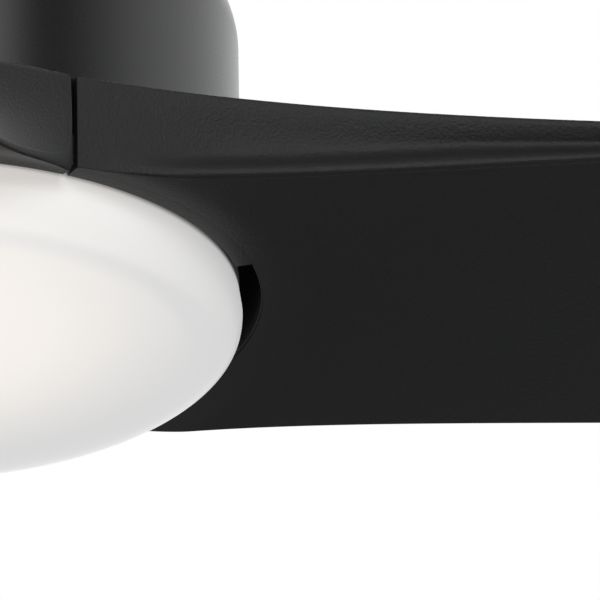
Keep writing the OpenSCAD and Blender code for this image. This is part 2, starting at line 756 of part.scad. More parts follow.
// static ring with three ledges that carry the bowl's lugs
module glass_holder_ring() {
    color("silver") translate([0, 0, lip_z]) difference() {
        union() {
            tube(holder_r, pan_r + 0.1, pan_low, pan_low + 7);
            for (a = [0, 120, 240]) {
                sector(ledge_r, pan_r + 0.8, ledge_low, ledge_low + ledge_t, a - ledge_arc / 2, a + ledge_arc / 2);
                sector(ledge_r - 0.2, pan_r + 0.8, ledge_low + 0.5, ledge_low + 2 * ledge_t,
                    a - ledge_arc / 2, a - ledge_arc / 2 + stop_arc);
            }
        }
        rotate([0, 0, 60]) for (a = [0, 120, 240]) rotate([0, 0, a]) translate([pan_r, 0, 6.5])
            rotate([0, 90, 0]) cylinder(r = 1.3, h = 12, center = true);
    }
}

module holder_screws() {
    color("silver") translate([0, 0, lip_z + 6.5]) rotate([0, 0, 60]) for (a = [0, 120, 240]) rotate([0, 0, a])
        translate([pan_r - pan_t - 0.05, 0, 0]) rotate([0, 90, 0]) screw_up(1.2, 0, pan_t + 1.6, 2.4, 1.6);
}

// outline of the bowl's dome: a superellipse that is full at its side and nearly flat below
function dome(r, depth, n = 30) = [for (i = [0:n]) let (t = sin(90 * i / n))
    [r * t, bowl_line - depth * pow(max(0, 1 - pow(t, 1.7)), 0.3226)]];

module glass_bowl() {
    outer = dome(bowl_r, bowl_depth);
    inner = dome(bowl_r - bowl_wall, bowl_depth - bowl_wall);
    m = len(outer) - 1;
    color("white") translate([0, 0, lip_z]) union() {
        rotate_extrude() polygon(concat(outer, [[neck_out, bowl_line + 5], [neck_out, neck_top],
            [neck_in, neck_top], [neck_in, bowl_line + 4.6]], [for (i = [m:-1:0]) inner[i]]));
        for (a = [0, 120, 240]) let (from = a - ledge_arc / 2 + stop_arc + 0.5)
            sector(neck_in + 1, holder_r + 0.6, ledge_low + ledge_t + clear, ledge_low + 2 * ledge_t + clear,
                from, from + lug_arc);
    }
}

hanger_bracket();
canopy();
canopy_trim_ring();
canopy_screws();
receiver_module();
wire_connectors();
ground_screw();
ball_seat();
hanger_ball();
ball_cross_pin();
ball_set_screw();
downrod();
lead_wires();
motor_coupling();
coupling_pin();
coupling_clip();
coupling_set_screws();
coupling_cover();
housing_shell();
housing_plate();
housing_screws();
plate_screws();
motor_shaft();
stator_core();
stator_windings();
bearing_inner_races();
bearing_outer_races();
bearing_balls();
rotor_bottom_cover();
rotor_ring();
rotor_top_cover();
rotor_bolts();
blade_gasket();
blade(0);  // blade_1
blade(120);  // blade_2
blade(240);  // blade_3
blade_screws();
pan_collar();
light_kit_pan();
shaft_nut();
led_driver();
heat_sink();
led_board();
led_emitters();
light_kit_screws();
glass_holder_ring();
holder_screws();
glass_bowl();
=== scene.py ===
"""Looks of a three-blade ceiling fan with a round opal light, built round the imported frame."""

import json
import logging
import math
from dataclasses import dataclass, field
from enum import Enum
from typing import Any, Optional, Union

import bpy
import numpy as np
from mathutils import Matrix, Vector


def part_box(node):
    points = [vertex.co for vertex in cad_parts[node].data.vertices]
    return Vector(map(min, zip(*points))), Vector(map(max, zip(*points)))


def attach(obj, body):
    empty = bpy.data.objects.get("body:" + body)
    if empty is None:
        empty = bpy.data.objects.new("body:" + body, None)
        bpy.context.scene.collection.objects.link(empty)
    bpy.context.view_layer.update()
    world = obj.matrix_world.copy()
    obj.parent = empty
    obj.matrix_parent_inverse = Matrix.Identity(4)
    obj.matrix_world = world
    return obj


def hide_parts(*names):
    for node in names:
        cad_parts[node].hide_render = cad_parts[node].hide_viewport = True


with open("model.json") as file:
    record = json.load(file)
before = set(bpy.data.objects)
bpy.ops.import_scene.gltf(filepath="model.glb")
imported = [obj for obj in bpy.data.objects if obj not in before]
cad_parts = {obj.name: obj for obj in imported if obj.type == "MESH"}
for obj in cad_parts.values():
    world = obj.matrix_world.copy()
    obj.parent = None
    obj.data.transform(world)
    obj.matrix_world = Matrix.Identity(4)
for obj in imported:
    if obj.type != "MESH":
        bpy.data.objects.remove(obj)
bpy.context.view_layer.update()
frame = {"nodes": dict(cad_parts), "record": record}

LOG = logging.getLogger("fan")
MM = 0.001
Colour = tuple[float, float, float]


# ---------------------------------------------------------------- curves and surfaces


def ease(t: np.ndarray) -> np.ndarray:
    """Rise from 0 to 1, flat at both ends: c squared times (3 - 2c), c being t held between 0 and 1."""
    c = np.clip(t, 0.0, 1.0)
    return c * c * (3.0 - 2.0 * c)


def mix(a: Any, b: Any, t: Any) -> Any:
    """Straight blend from a at t = 0 to b at t = 1."""
    return a + (b - a) * t


def rounded(points: np.ndarray, radius: Union[float, np.ndarray], steps: int = 5) -> np.ndarray:
    """Round every corner of a closed outline.

    Each corner becomes a parabola that leaves its two sides at the given distance from the corner,
    or at 0.45 of the side where that is shorter.

    Args:
        points: Corners of the outline, shape (n, 2).
        radius: Distance from a corner to where its rounding starts.
        steps: Points in each rounding.

    Returns:
        The rounded outline, shape (n * steps, 2).
    """
    before, after = np.roll(points, 1, 0) - points, np.roll(points, -1, 0) - points
    long_b, long_a = (np.linalg.norm(d, axis=1, keepdims=True) for d in (before, after))
    start = points + before / long_b * np.minimum(radius, 0.45 * long_b)
    end = points + after / long_a * np.minimum(radius, 0.45 * long_a)
    t = np.linspace(0.0, 1.0, steps)[None, :, None]
    curve = (1 - t) ** 2 * start[:, None] + 2 * t * (1 - t) * points[:, None] + t * t * end[:, None]
    return curve.reshape(-1, 2)


def spline_weights(controls: int, samples: int) -> np.ndarray:
    """Weights of a clamped cubic B-spline.

    The first and last control point count three times, so the curve starts and ends on them.

    Args:
        controls: Number of control points.
        samples: Number of points on the curve.

    Returns:
        A matrix, shape (samples, controls), that turns control points into curve points.
    """
    padded = controls + 4
    t = np.linspace(0.0, padded - 3 - 1e-9, samples)
    cell = t.astype(int)
    u = t - cell
    basis = np.stack([(1 - u) ** 3, 3 * u**3 - 6 * u**2 + 4, -3 * u**3 + 3 * u**2 + 3 * u + 1, u**3], 1) / 6
    wide = np.zeros((samples, padded))
    for k in range(4):
        np.add.at(wide, (np.arange(samples), cell + k), basis[:, k])
    weights = wide[:, 2:-2].copy()
    weights[:, 0] += wide[:, 0] + wide[:, 1]
    weights[:, -1] += wide[:, -1] + wide[:, -2]
    return weights


@dataclass
class Shell:
    """Points and faces of one or more closed surfaces."""

    points: np.ndarray = field(default_factory=lambda: np.zeros((0, 3)))
    faces: list[list[int]] = field(default_factory=list)

    def add(self, points: np.ndarray, faces: list[list[int]]) -> "Shell":
        """Add a closed surface, turned outwards.

        The surface's signed volume is the sum of a . (b x c) over the triangles that fan out of each
        face's first corner; where it is negative, every face is turned round.

        Args:
            points: Its points, shape (n, 3).
            faces: Its faces, as lists of point numbers.

        Returns:
            This shell.
        """
        tris = np.array([(f[0], f[k], f[k + 1]) for f in faces for k in range(1, len(f) - 1)])
        a, b, c = (points[tris[:, k]] for k in range(3))
        inside_out = float(np.einsum("ij,ij->i", a, np.cross(b, c)).sum()) < 0
        base = len(self.points)
        self.faces += [[base + i for i in (reversed(f) if inside_out else f)] for f in faces]
        self.points = np.vstack([self.points, points])
        return self

    def loft(self, rings: np.ndarray, closed: bool = False, fold: Optional[int] = None) -> "Shell":
        """Join closed rings of points, one after another, into a surface.

        Args:
            rings: Shape (rings, points, 3).
            closed: Whether the last ring joins the first; if not, both ends get a cap.
            fold: Sum of the numbers of two points that face each other across a ring. A cap is then
                a strip of quads from side to side, which follows a bent ring; if not, it is flat.

        Returns:
            This shell.
        """
        n, m = rings.shape[:2]
        i = np.arange(n if closed else n - 1)[:, None]
        j = np.arange(m)[None, :]
        a, b = i * m + j, i * m + (j + 1) % m
        c, d = (i + 1) % n * m + (j + 1) % m, (i + 1) % n * m + j
        faces = np.stack([a, b, c, d], -1).reshape(-1, 4).tolist()
        if fold is not None:
            k = np.arange((fold + 1 - m) // 2, fold // 2)
            strip = (np.stack([k, k + 1, fold - k - 1, fold - k], -1) % m).tolist()
            strip[-1] = list(dict.fromkeys(strip[-1]))
            faces += [list(reversed(f)) for f in strip] + [[(n - 1) * m + p for p in f] for f in strip]
        elif not closed:
            faces += [list(range(m - 1, -1, -1)), list(range((n - 1) * m, n * m))]
        return self.add(rings.reshape(-1, 3), faces)

    def turn(
        self, outline: np.ndarray, steps: int = 256, start: float = 0.0, sweep: float = 360.0
    ) -> "Shell":
        """Turn a closed outline of (radius, height) round the Z axis.

        A point goes to (r cos a, r sin a, z) at every angle a.

        Args:
            outline: The closed outline, shape (n, 2), off the axis.
            steps: Angles in the sweep.
            start: First angle in degrees.
            sweep: Degrees to turn through; below 360 both ends are capped.

        Returns:
            This shell.
        """
        full = sweep >= 360.0
        count = steps if full else steps + 1
        a = np.radians(start + np.linspace(0.0, sweep, count, endpoint=not full))[:, None]
        r, z = outline[None, :, 0], outline[None, :, 1]
        rings = np.stack([r * np.cos(a), r * np.sin(a), np.broadcast_to(z, (len(a), outline.shape[0]))], -1)
        return self.loft(rings, closed=full)

    def dome(self, line: np.ndarray, steps: int = 256) -> "Shell":
        """Turn a line that starts and ends on the Z axis round it, with one point at each pole.

        Args:
            line: Points (radius, height), shape (n, 2), the first and last at radius 0.
            steps: Angles round the axis.

        Returns:
            This shell.
        """
        a = np.radians(np.linspace(0.0, 360.0, steps, endpoint=False))[None, :]
        r, z = line[1:-1, 0][:, None], line[1:-1, 1][:, None]
        body = np.stack([r * np.cos(a), r * np.sin(a), np.broadcast_to(z, (len(line) - 2, steps))], -1)
        points = np.vstack([body.reshape(-1, 3), [[0, 0, line[0, 1]], [0, 0, line[-1, 1]]]])
        i, j = np.arange(len(line) - 3)[:, None] * steps, np.arange(steps)[None, :]
        k = (j + 1) % steps
        faces = np.stack([i + j, i + k, i + steps + k, i + steps + j], -1).reshape(-1, 4).tolist()
        last = (len(line) - 3) * steps
        first_fan = np.stack([np.full(steps, last + steps), k[0], j[0]], -1)
        last_fan = np.stack([np.full(steps, last + steps + 1), last + j[0], last + k[0]], -1)
        return self.add(points, faces + first_fan.tolist() + last_fan.tolist())

    def turned(self, degrees: float) -> "Shell":
        """Copy this shell, turned round the Z axis.

        Args:
            degrees: How far to turn it.

        Returns:
            The copy.
        """
        a = math.radians(degrees)
        spin = np.array([[math.cos(a), math.sin(a), 0], [-math.sin(a), math.cos(a), 0], [0, 0, 1]])
        return Shell(self.points @ spin, self.faces)

    def piece(self, name: str, material: bpy.types.Material, sharp: float = 40.0) -> bpy.types.Object:
        """Make the shell an object at the origin.

        Args:
            name: The object's name.
            material: Its material.
            sharp: Edges that turn by more than this many degrees stay sharp.

        Returns:
            The new object.
        """
        mesh = bpy.data.meshes.new(name)
        mesh.from_pydata(self.points.tolist(), [], self.faces)
        mesh.polygons.foreach_set("use_smooth", np.ones(len(mesh.polygons), bool))
        mesh.set_sharp_from_angle(angle=math.radians(sharp))
        mesh.materials.append(material)
        mesh.validate()
        made = bpy.data.objects.new(name, mesh)
        bpy.context.scene.collection.objects.link(made)
        return made


# ---------------------------------------------------------------- shader maths


class Shade:
    """A socket of a node tree; arithmetic on it adds Math nodes."""

    def __init__(self, maker: "Maker", socket: bpy.types.NodeSocket) -> None:
        """Wrap a socket.

        Args:
            maker: The material that the socket belongs to.
            socket: The output socket.
        """
        self.maker = maker
        self.socket = socket

    def _math(self, operation: str, *values: Any) -> "Shade":
        """Add one Math node and return its result."""
        return self.maker.node("ShaderNodeMath", {"operation": operation}, dict(enumerate(values)))

    def __add__(self, other: Any) -> "Shade":
        """Sum."""
        return self._math("ADD", self, other)

    def __radd__(self, other: Any) -> "Shade":
        """Sum, from the right."""
        return self._math("ADD", other, self)

    def __sub__(self, other: Any) -> "Shade":
        """Difference."""
        return self._math("SUBTRACT", self, other)

    def __rsub__(self, other: Any) -> "Shade":
        """Difference, from the right."""
        return self._math("SUBTRACT", other, self)

    def __mul__(self, other: Any) -> "Shade":
        """Product."""
        return self._math("MULTIPLY", self, other)

    def __rmul__(self, other: Any) -> "Shade":
        """Product, from the right."""
        return self._math("MULTIPLY", other, self)

    def __pow__(self, other: Any) -> "Shade":
        """Power."""
        return self._math("POWER", self, other)

    def fade(self, low: float, high: float) -> "Shade":
        """Smooth step from 0 at low to 1 at high."""
        settings = {"interpolation_type": "SMOOTHSTEP"}
        return self.maker.node("ShaderNodeMapRange", settings, {0: self, 1: low, 2: high})

    def wave(self) -> "Shade":
        """Sine."""
        return self._math("SINE", self)


class Maker:
    """Builds one material's nodes."""

    def __init__(self, name: str) -> None:
        """Start a material with nothing but its output and its principled shader.

        Args:
            name: The material's name.
        """
        self.material = bpy.data.materials.new(name)
        self.material.use_nodes = True
        self.tree = self.material.node_tree
        self.shader = self.tree.nodes["Principled BSDF"]

    @classmethod
    def of_tree(cls, tree: bpy.types.NodeTree) -> "Maker":
        """Wrap a tree that exists already, such as the world's.

        Args:
            tree: The node tree.

        Returns:
            A maker without a material or a shader.
        """
        made = cls.__new__(cls)
        made.material, made.tree, made.shader = None, tree, None
        return made

    def node(
        self,
        kind: str,
        settings: Optional[dict[str, Any]] = None,
        sockets: Optional[dict[Any, Any]] = None,
        out: Union[int, str] = 0,
    ) -> Shade:
        """Add a node.

        Args:
            kind: The node's type.
            settings: Its own settings, set first; "stops" holds a ramp's (place, colour) pairs.
            sockets: Its inputs by name or number: a value, or a Shade to link.
            out: The output to return.

        Returns:
            The node's output.
        """
        made = self.tree.nodes.new(kind)
        for key, value in (settings or {}).items():
            if key == "stops":
                while len(made.color_ramp.elements) < len(value):
                    made.color_ramp.elements.new(1.0)
                for element, (place, colour) in zip(made.color_ramp.elements, value):
                    element.position, element.color = place, (*colour, 1.0)
            else:
                setattr(made, key, value)
        for key, value in (sockets or {}).items():
            self.put(made.inputs[key], value)
        return Shade(self, made.outputs[out])

    def put(self, target: bpy.types.NodeSocket, value: Any) -> None:
        """Link a Shade to an input, or set the input's own value.

        Args:
            target: The input.
            value: The Shade or the value.
        """
        if isinstance(value, Shade):
            self.tree.links.new(value.socket, target)
        else:
            target.default_value = value

    def set(self, **values: Any) -> "Maker":
        """Fill the principled shader's inputs.

        Args:
            values: A Shade or a value for each input, named with _ for a space.

        Returns:
            This maker.
        """
        for key, value in values.items():
            self.put(self.shader.inputs[key.replace("_", " ")], value)
        return self

    def place(self) -> Shade:
        """Object coordinates."""
        return self.node("ShaderNodeTexCoord", out="Object")

    def stretched(self, scale: Colour) -> Shade:
        """Object coordinates, scaled along each axis."""
        return self.node("ShaderNodeMapping", {}, {"Vector": self.place(), "Scale": scale})

    def parts(self, vector: Shade) -> tuple[Shade, Shade, Shade]:
        """Return a vector's three parts, each by itself."""
        x = self.node("ShaderNodeSeparateXYZ", {}, {0: vector})
        return x, Shade(self, x.socket.node.outputs[1]), Shade(self, x.socket.node.outputs[2])

    def axes(self) -> tuple[Shade, Shade, Shade]:
        """Return the three object coordinates, each by itself."""
        return self.parts(self.place())

    def radius(self) -> Shade:
        """Distance from the Z axis: the root of x squared plus y squared."""
        x, y, _ = self.axes()
        return (x * x + y * y) ** 0.5

    def noise(self, scale: float, detail: float = 3.0, along: Optional[Shade] = None) -> Shade:
        """Cloudy noise between 0 and 1."""
        inputs = {"Vector": along or self.place(), "Scale": scale, "Detail": detail}
        return self.node("ShaderNodeTexNoise", {"noise_dimensions": "3D"}, inputs)

    def blend(self, share: Any, low: Colour, high: Colour) -> Shade:
        """Colour from low to high by share."""
        inputs = {0: share, 6: (*low, 1.0), 7: (*high, 1.0)}
        return self.node("ShaderNodeMix", {"data_type": "RGBA"}, inputs, out=2)

    def bump(self, height: Shade, strength: float, distance: float) -> None:
        """Put a bump of the given height into the shader's normal."""
        inputs = {"Strength": strength, "Distance": distance, "Height": height}
        self.set(Normal=self.node("ShaderNodeBump", {}, inputs))


class Pattern(Enum):
    """What a finish's surface shows up close."""

    GRAIN = "fine even grain of a moulding or a sprayed coat"
    BRUSHED = "short lines along X"
    TURNED = "rings round the Z axis"
    CAST = "coarse cast skin"
    STACKED = "thin sheets stacked along Z"
    WOUND = "round wire, layer on layer"
    CLOUDED = "soft mottling"


@dataclass(frozen=True)
class Finish:
    """A surface finish: its colour, its gloss and its pattern."""

    name: str
    colour: Colour
    rough: float
    pattern: Pattern = Pattern.GRAIN
    metal: float = 0.0
    specular: float = 0.5
    contrast: float = 0.12
    size: float = 1.0 * MM
    depth: float = 0.03 * MM

    def height(self, maker: Maker) -> Shade:
        """Work out the pattern's height at each point.

        Args:
            maker: The material that it is for.

        Returns:
            The height, between 0 and 1.
        """
        scale = 1.0 / self.size
        waves = 2 * math.pi * scale
        if self.pattern is Pattern.BRUSHED:
            return maker.noise(scale, 2.0, maker.stretched((0.03, 1.0, 1.0)))
        if self.pattern is Pattern.TURNED:
            return (maker.radius() * waves).wave() * 0.3 + maker.noise(scale * 0.2) * 0.7
        if self.pattern is Pattern.STACKED:
            return (maker.axes()[2] * waves).wave() * 0.5 + 0.5
        if self.pattern is Pattern.WOUND:
            x, y, z = maker.axes()
            return (z * waves).wave() * 0.25 + ((x + y) * waves).wave() * 0.25 + 0.5
        if self.pattern is Pattern.CAST:
            return maker.noise(scale * 0.5, 6.0)
        if self.pattern is Pattern.CLOUDED:
            return maker.noise(scale * 0.1, 4.0)
        return maker.noise(scale, 2.0) * 0.7 + maker.noise(scale * 0.35, 2.0) * 0.3

    def build(self) -> bpy.types.Material:
        """Make the material: the pattern moves colour and roughness a little and lifts the surface.

        Returns:
            The material.
        """
        maker = Maker(self.name)
        height = self.height(maker)
        wear = maker.noise(14.0, 4.0)
        share = height * 0.6 + wear * 0.4
        dark = tuple(c * (1 - self.contrast) for c in self.colour)
        light = tuple(min(1.0, c * (1 + self.contrast)) for c in self.colour)
        maker.set(
            Base_Color=maker.blend(share, dark, light),
            Roughness=share * 0.14 + (self.rough - 0.07),
            Metallic=self.metal,
            Specular_IOR_Level=self.specular,
        )
        maker.bump(height, 0.5, self.depth)
        return maker.material


@dataclass(frozen=True)
class Opal:
    """Satin opal glass with the lamps lit behind it."""

    lip: float
    name: str = "opal_glass"
    colour: Colour = (0.82, 0.82, 0.815)
    warm: Colour = (1.0, 0.94, 0.88)
    cool: Colour = (1.0, 0.995, 0.99)
    glow: float = 0.69
    edge_glow: float = 0.47
    rough: float = 0.3
    painted_shade_ring: tuple[float, float, float] = (0.117, 0.126, 0.131)
    painted_shade_depth: float = 0.32
    # Painted light: how far the glow's centre is moved towards the front of the bowl.
    painted_glow_y: float = -0.055
    lamp_radius: float = 0.04
    rim_radius: float = 0.14
    lit_below: float = 1 * MM
    dark_above: float = 3 * MM

    def build(self) -> bpy.types.Material:
        """Make the material.

        The glow is strong and warm round a point set in front of the middle, a painted pool of light, and
        fades to the rim. A faint ring of painted shade dims it where the bowl turns up, and the glow stops at
        the lip, so the neck is dark.

        Returns:
            The material.
        """
        maker = Maker(self.name)
        x, y, z = maker.axes()
        # Painted light: the glow's centre is moved towards the front, so the near side carries a painted pool
        # of light.
        off = y - self.painted_glow_y
        radius = (x * x + off * off) ** 0.5
        inner = 1.0 - radius.fade(self.lamp_radius, self.rim_radius)
        soft = maker.noise(9.0, 2.0) * 0.06 - 0.03
        open_part = 1.0 - z.fade(self.lip - self.lit_below, self.lip + self.dark_above)
        # Painted shade: a faint ring where the bowl's side turns into its bottom dims the glow, standing in
        # for the shading of that curve.
        true = (x * x + y * y) ** 0.5
        low, turn, high = self.painted_shade_ring
        line = true.fade(low, turn) - true.fade(turn, high)
        rim = tuple(c * self.edge_glow / self.glow for c in self.cool)
        tint = maker.blend(inner + soft - line * self.painted_shade_depth, rim, self.warm)
        unlit = (0.0, 0.0, 0.0, 1.0)
        shown = maker.node("ShaderNodeMix", {"data_type": "RGBA"}, {0: open_part, 6: unlit, 7: tint}, 2)
        maker.set(
            Base_Color=self.colour + (1.0,),
            Roughness=maker.noise(400.0) * 0.06 + self.rough,
            Emission_Color=shown,
            Emission_Strength=self.glow,
        )
        maker.bump(maker.noise(900.0, 2.0), 0.25, 0.01 * MM)
        return maker.material


class Finishes:
    """Every finish of the fan, made once each, by the record's slot."""

    def __init__(self, sizes: "Sizes") -> None:
        """Make the materials.

        Args:
            sizes: Sizes of the frame; the glass's glow stops at their lip.
        """
        paint, moulding = (0.009, 0.009, 0.0092), (0.020, 0.020, 0.0205)
        steel, bright_steel, alloy = (0.55, 0.55, 0.54), (0.7, 0.7, 0.7), (0.58, 0.59, 0.60)
        kinds = [
            Finish("black_paint", paint, 0.27, size=0.9 * MM, depth=0.02 * MM),
            Finish(
                "black_moulding", moulding, 0.5, specular=0.4, contrast=0.3, size=1.2 * MM, depth=0.7 * MM
            ),
            Finish("zinc_steel", steel, 0.36, Pattern.CLOUDED, 0.9, size=6 * MM),
            Finish("bearing_steel", bright_steel, 0.2, Pattern.TURNED, 1.0, size=0.6 * MM, depth=0.004 * MM),
            Finish("cast_alloy", alloy, 0.48, Pattern.CAST, 0.85, size=1.4 * MM, depth=0.06 * MM),
            Finish("stack_steel", (0.2, 0.21, 0.23), 0.45, Pattern.STACKED, 0.8, contrast=0.3, size=0.5 * MM),
            Finish("winding_copper", (0.55, 0.2, 0.08), 0.3, Pattern.WOUND, 0.8, contrast=0.3, size=0.9 * MM),
            Finish("white_paint", (0.78, 0.78, 0.77), 0.4, size=1.2 * MM, depth=0.015 * MM, contrast=0.03),
            Finish("white_plastic", (0.76, 0.76, 0.73), 0.45, size=1.0 * MM, contrast=0.04),
            Finish("orange_plastic", (0.75, 0.2, 0.02), 0.35, size=1.5 * MM, contrast=0.08),
            Finish("wire_jacket", (0.7, 0.7, 0.68), 0.4, size=1.0 * MM, contrast=0.06),
            Finish("green_screw", (0.03, 0.24, 0.07), 0.35, Pattern.BRUSHED, 0.4, size=0.8 * MM),
            Finish("black_rubber", (0.018, 0.018, 0.018), 0.7, size=0.8 * MM, specular=0.3),
            Finish("lamp_dies", (0.9, 0.75, 0.25), 0.25, size=0.5 * MM, contrast=0.08),
        ]
        self.by_slot = {kind.name: kind.build() for kind in kinds}
        self.by_slot["opal_glass"] = Opal(sizes.lip).build()

    def __getitem__(self, slot: str) -> bpy.types.Material:
        """Return the material of a slot."""
        return self.by_slot[slot]

    def dress_frame(self) -> None:
        """Give every CAD node the finish of its slot in the record."""
        for row in frame["record"]["subparts"]:
            node = frame["nodes"][row["node"]]
            node.data.materials.clear()
            node.data.materials.append(self[row["material_slot"]])


# ---------------------------------------------------------------- sizes that the frame gives


@dataclass(frozen=True)
class Sizes:
    """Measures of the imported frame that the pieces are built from, in metres."""

    lip: float
    tip: float
    housing: float
    housing_low: float
    housing_top: float
    bowl: float

    @staticmethod
    def read() -> "Sizes":
        """Read the frame: the ring's lip is 3 mm below the holder ring's lower side.

        Returns:
            The sizes.
        """
        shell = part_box("housing_shell")
        return Sizes(
            lip=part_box("glass_holder_ring")[0].z - 3 * MM,
            tip=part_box("blade_1")[1].x,
            housing=shell[1].x,
            housing_low=shell[0].z,
            housing_top=shell[1].z,
            bowl=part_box("glass_bowl")[1].x,
        )


# ---------------------------------------------------------------- sub-assemblies


@dataclass
class Blades:
    """Three moulded blades; each is an aerofoil that grows out of a channel-shaped root."""

    sizes: Sizes
    finishes: Finishes
    ring: float = 148 * MM
    root: float = 147 * MM
    height: float = 40 * MM
    seam: float = 62.3
    gap: float = 2.4 * MM
    lead_tip: float = 80 * MM
    lead_fade: float = 130 * MM
    trail_mid: float = 109 * MM
    trail_fade: float = 60 * MM
    trail_taper: float = 40 * MM
    trail_drop: float = 6.2 * MM
    trail_rise: float = 14 * MM
    trail_thick: float = 2.5 * MM
    trail_nose: float = 1.1 * MM
    drop_share: float = 0.4
    drop_run: float = 40 * MM
    outer_from: float = 300 * MM
    top_power: float = 1.15
    under_power: float = 1.3
    under_fade: float = 90 * MM
    lead_thick: float = 12 * MM
    lead_bend: float = 5 * MM
    lip_level: float = 31 * MM
    lip_run: float = 320 * MM
    lip_soft: float = 0.06
    lip_rise: float = 3 * MM
    lip_rise_from: float = 420 * MM
    lip_out: float = 2.2 * MM
    lip_from: float = 8 * MM
    lip_grows: float = 55 * MM
    hollow: float = 2.4 * MM
    step: float = 1.2 * MM
    step_from: float = 200 * MM
    step_run: float = 220 * MM
    corner: float = 42 * MM
    tip_round: float = 3 * MM
    bow_fade: float = 110 * MM
    level_reach: float = 170 * MM
    span_rings: int = 190
    corner_rings: int = 34
    chord_points: int = 84
    face_points: int = 46
    inner: float = 139.6 * MM
    wall: float = 144.5 * MM
    notch_wall: float = 146.2 * MM
    flange_in: float = 100 * MM
    flange: float = 3 * MM
    skin: float = 0.4 * MM
    flush: float = 0.36 * MM
    notch: tuple[float, float] = (-15.0, 26.0)

    def __post_init__(self) -> None:
        """Work out where the tip's rounding starts and where the two seams cross the ring."""
        self.end = self.sizes.tip - self.tip_round
        half = math.degrees(math.asin(self.gap / 2 / self.ring))
        self.lead_az = -self.seam + half
        self.trail_az = 120.0 - self.seam - half
        lead, trail = math.radians(self.lead_az), math.radians(self.trail_az)
        self.lead_0 = self.ring * np.array([math.cos(lead), math.sin(lead)])
        self.trail_0 = self.ring * np.array([math.cos(trail), math.sin(trail)])

    def edge_x(self, start: float) -> np.ndarray:
        """Distances of the rings along one edge: a power of 1.5 out to the corner, then a sine round it.

        Args:
            start: Distance where the edge leaves the root.

        Returns:
            Shape (rings,).
        """
        straight = mix(start, self.end - self.corner, np.linspace(0, 1, self.span_rings) ** 1.5)
        turn = np.sin(np.linspace(0, math.pi / 2, self.corner_rings + 1)[1:])
        return np.concatenate([straight, self.end - self.corner * (1 - turn)])

    def corner_cut(self, x: np.ndarray) -> np.ndarray:
        """How far the tip's round corner cuts the edge in: r less the root of r squared minus d squared."""
        d = np.clip(x - self.end + self.corner, 0, self.corner)
        return self.corner - np.sqrt(np.maximum(self.corner**2 - d**2, 0))

    def lead_edge(self, x: np.ndarray) -> np.ndarray:
        """Leading edge in plan: a constant plus a fading exponential, and the tip's corner."""
        flare = (-self.lead_0[1] - self.lead_tip) * np.exp(-(x - self.lead_0[0]) / self.lead_fade)
        return -(self.lead_tip + flare) + self.corner_cut(x)

    def trail_edge(self, x: np.ndarray) -> np.ndarray:
        """Trailing edge in plan: a fading exponential of power 1.3, a taper, and the tip's corner.

        Args:
            x: Distances of the rings, shape (rings,).

        Returns:
            Shape (rings,).
        """
        out = np.maximum(0, x - self.trail_0[0]) / self.trail_fade
        flare = (self.trail_0[1] - self.trail_mid) * np.exp(-(out**1.3))
        taper = self.trail_taper * self.outward(x, self.outer_from)
        return self.trail_mid + flare - taper - self.corner_cut(x)

    def outward(self, x: np.ndarray, start: float) -> np.ndarray:
        """Smooth share of the way from a distance out to the tip."""
        return ease((x - start) / (self.sizes.tip - start))

    def lip_height(self, x: np.ndarray) -> np.ndarray:
        """Lower side at the leading edge: a quarter of a sine that starts with a soft corner.

        Args:
            x: Distances of the rings, shape (rings,).

        Returns:
            Heights above the ring's lip, shape (rings,).
        """
        t = (x - self.lead_0[0] - self.lip_level) / self.lip_run
        soft = np.minimum(1, (t + np.sqrt(t * t + self.lip_soft**2)) / 2)
        rise = (self.height - self.lead_thick) * np.sin(soft * math.pi / 2)
        return rise + self.lip_rise * self.outward(x, self.lip_rise_from)

    def trail_height(self, x: np.ndarray) -> np.ndarray:
        """Lower side at the trailing edge: below the lip at the root, and rising to the tip."""
        drop = self.trail_drop * mix(self.drop_share, 1.0, ease((x - self.trail_0[0]) / self.drop_run))
        return -drop + self.trail_rise * self.outward(x, self.outer_from)

    def plan(self, lead: np.ndarray, trail: np.ndarray, v: np.ndarray) -> np.ndarray:
        """Points of the blade in plan.

        A ring runs straight from edge to edge, plus the ring's own arc less its chord, which fades
        exponentially along the blade.

        Args:
            lead: Points of the leading edge, shape (rings, 2).
            trail: Points of the trailing edge, shape (rings, 2).
            v: Shares of the way across, shape (shares,) or (rings, shares).

        Returns:
            Shape (rings, shares, 2).
        """
        v = np.broadcast_to(v, (len(lead), np.shape(v)[-1]))[..., None]
        angle = np.radians(mix(self.lead_az, self.trail_az, v))
        circle = self.ring * np.concatenate([np.cos(angle), np.sin(angle)], -1)
        arc = circle - mix(self.lead_0, self.trail_0, v)
        fade = np.exp(-(lead[:, 0] - self.lead_0[0]) / self.bow_fade)[:, None, None]
        return mix(lead[:, None], trail[:, None], v) + fade * arc

    def tops(self, trail_x: np.ndarray, v: np.ndarray) -> np.ndarray:
        """Upper side: level at the leading edge, falling to the trailing edge by a power of v.

        Args:
            trail_x: Distances along the trailing edge, shape (rings,).
            v: Shares of the way across, shape (shares,) or (rings, shares).

        Returns:
            Heights above the ring's lip, shape (rings, shares).
        """
        power = (self.top_power + self.level_reach / (trail_x - self.trail_0[0] + 0.1 * MM))[:, None]
        low = (self.trail_height(trail_x) + self.trail_thick)[:, None]
        return mix(self.height, low, np.broadcast_to(v, (len(trail_x), np.shape(v)[-1])) ** power)

    def undersides(self, lead_x: np.ndarray, trail_x: np.ndarray, v: np.ndarray) -> np.ndarray:
        """Lower side: from the lip to the trailing edge by a power of v that fades to 1.

        Args:
            lead_x: Distances along the leading edge, shape (rings,).
            trail_x: Distances along the trailing edge, shape (rings,).
            v: Shares of the way across, shape (shares,) or (rings, shares).

        Returns:
            Heights above the ring's lip, shape (rings, shares).
        """
        power = (1 + self.under_power * np.exp(-(trail_x - self.trail_0[0]) / self.under_fade))[:, None]
        lip, low = self.lip_height(lead_x)[:, None], self.trail_height(trail_x)[:, None]
        return mix(lip, low, np.broadcast_to(v, (len(trail_x), np.shape(v)[-1])) ** power)

